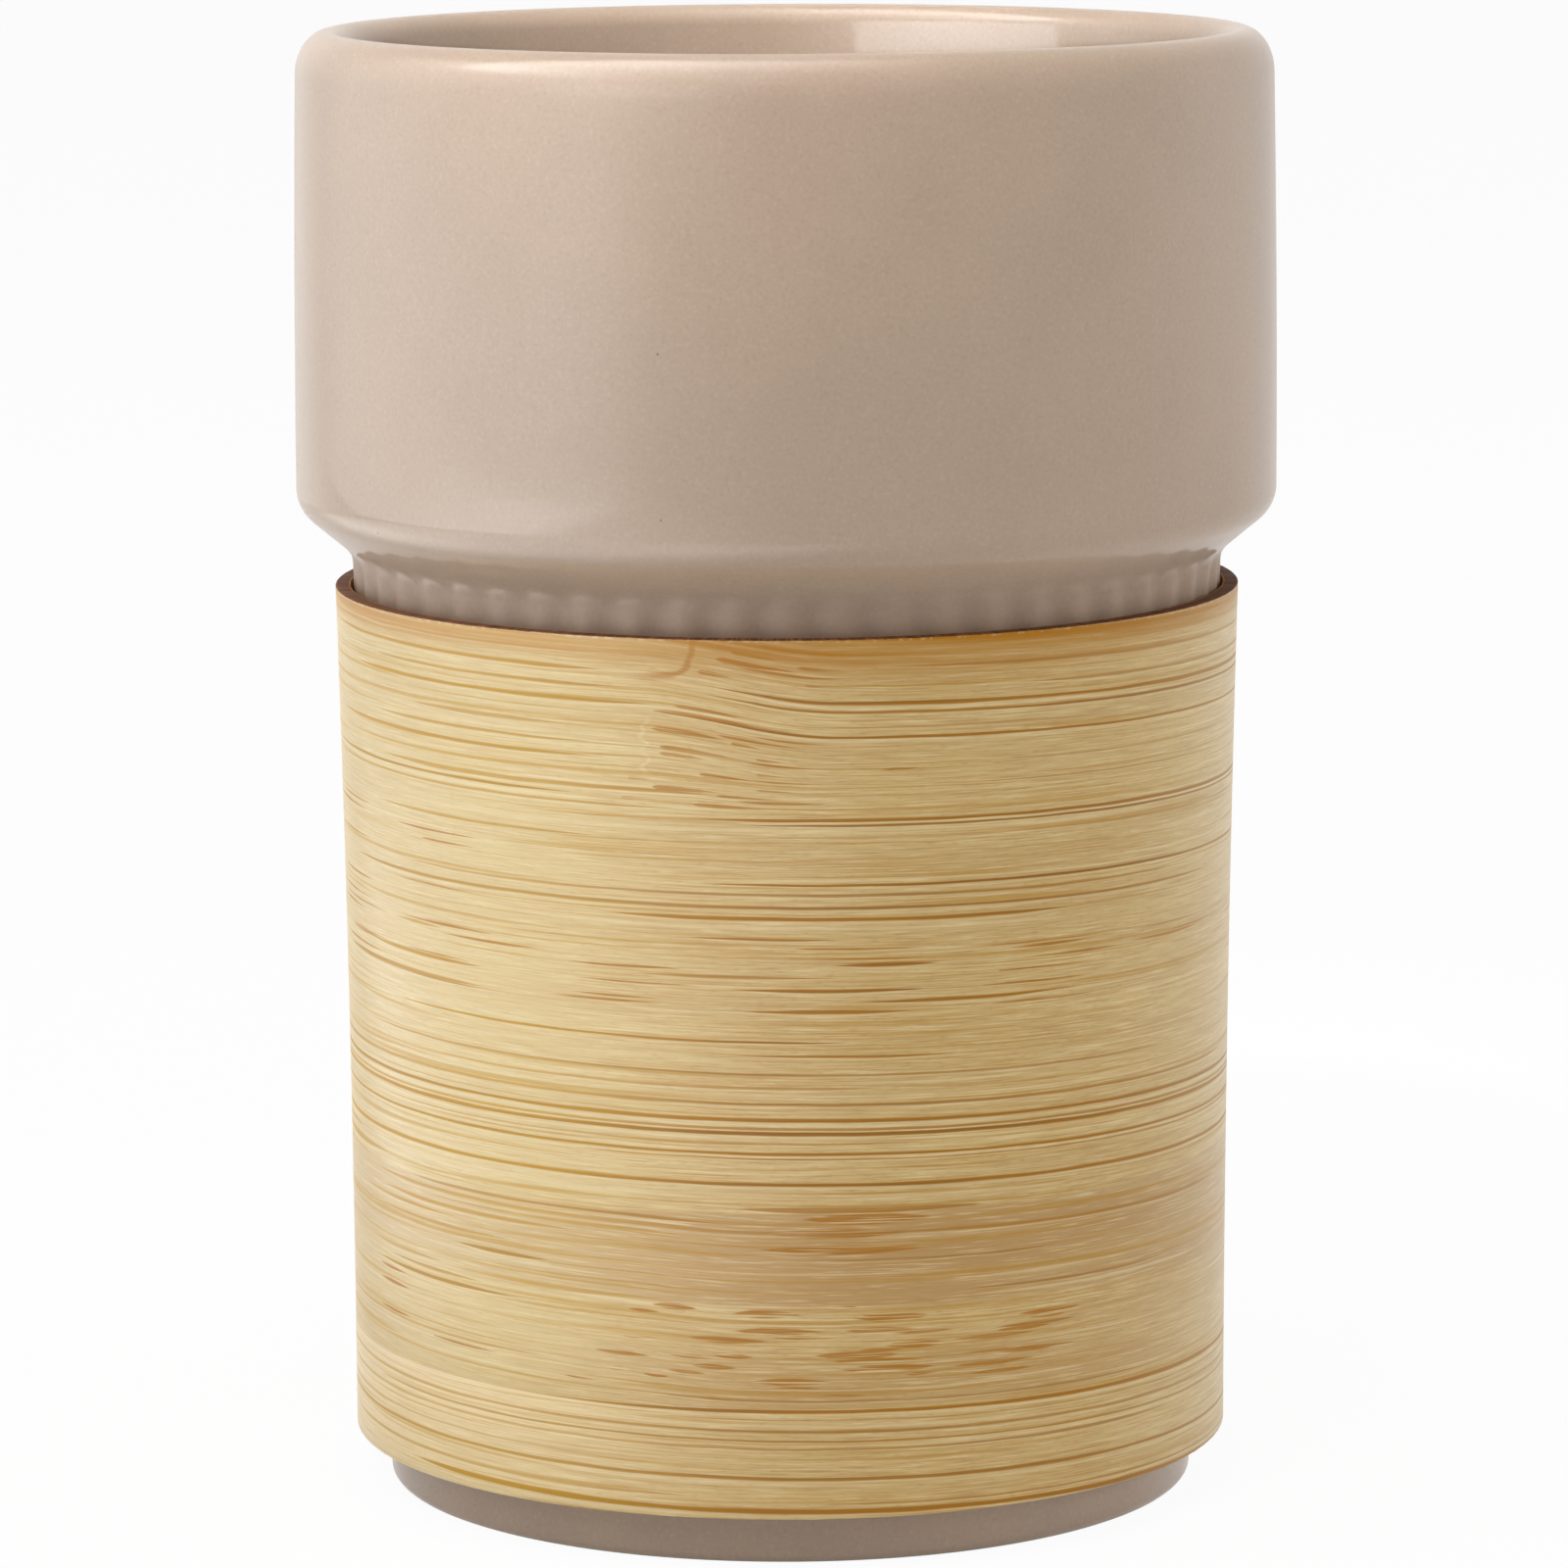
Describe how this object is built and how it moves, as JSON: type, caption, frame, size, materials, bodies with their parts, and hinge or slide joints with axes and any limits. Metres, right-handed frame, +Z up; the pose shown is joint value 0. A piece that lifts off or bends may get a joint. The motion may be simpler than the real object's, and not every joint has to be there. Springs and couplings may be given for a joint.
{
  "type": "ceramic tumbler with bamboo sleeve",
  "caption": "Handleless glazed ceramic tumbler: a wide stepped bowl on a narrower ribbed barrel, wrapped in a thin bamboo veneer sleeve that keeps the hand off the heat.",
  "frame": {"origin": "middle of the foot, on the table", "axes": "+Z up along the cup's axis, -Y towards the viewer, the sleeve's seam at +Y"},
  "size_m": [0.08, 0.08, 0.1194],
  "materials": {
    "glaze": "glossy pinkish beige glaze with fine speckle",
    "bamboo": "satin caramel bamboo, grain round the cup, edges cut brown",
    "glue": "cured adhesive, pale and translucent"
  },
  "bodies": {
    "root": {"ceramic_cup": "glaze", "bamboo_strip_1": "bamboo", "bamboo_strip_2": "bamboo", "bamboo_strip_3": "bamboo", "bamboo_strip_4": "bamboo", "bamboo_strip_5": "bamboo", "sleeve_seam_glue": "glue", "lower_glue_band": "glue", "upper_glue_band": "glue"}
  },
  "joints": []
}
